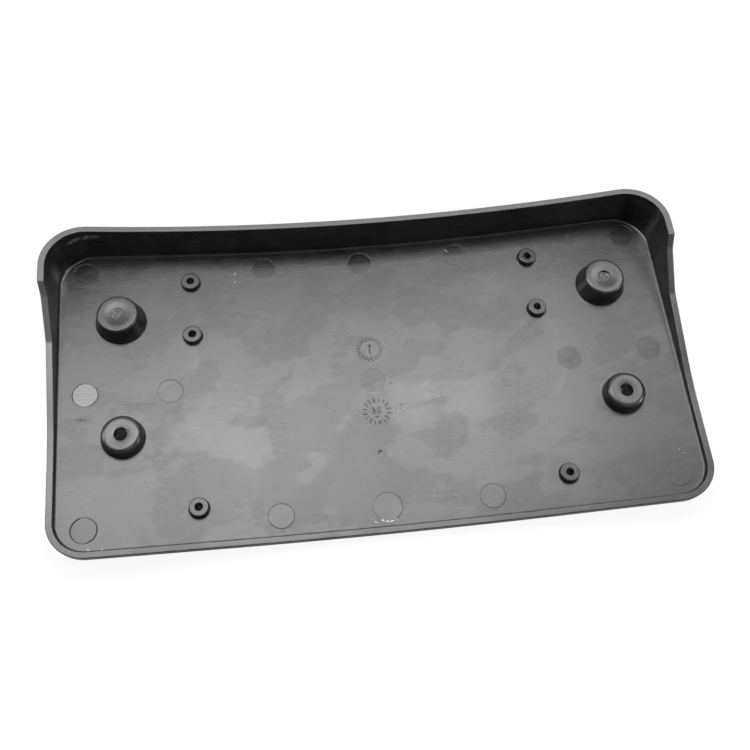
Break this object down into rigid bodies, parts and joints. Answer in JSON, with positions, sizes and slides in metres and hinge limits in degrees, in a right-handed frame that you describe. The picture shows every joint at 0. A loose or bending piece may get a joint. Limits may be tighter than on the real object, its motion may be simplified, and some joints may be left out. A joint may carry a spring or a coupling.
{
  "type": "number plate holder",
  "caption": "Curved moulded tray that carries a number plate on a car bumper, tall along its upper edge, with screw bosses for the bumper and for the plate.",
  "frame": {"origin": "lowest point of the curved front face, on the centre of the plate screw pattern", "axes": "+Z towards the back of the holder, +Y towards its tall upper wall, X along its length"},
  "size_m": [0.317, 0.1626, 0.0382],
  "materials": {
    "plastic": "black filled polypropylene, satin, with fine drag lines on the inside of the face"
  },
  "bodies": {
    "root": {"plate_holder": "plastic"}
  },
  "joints": []
}
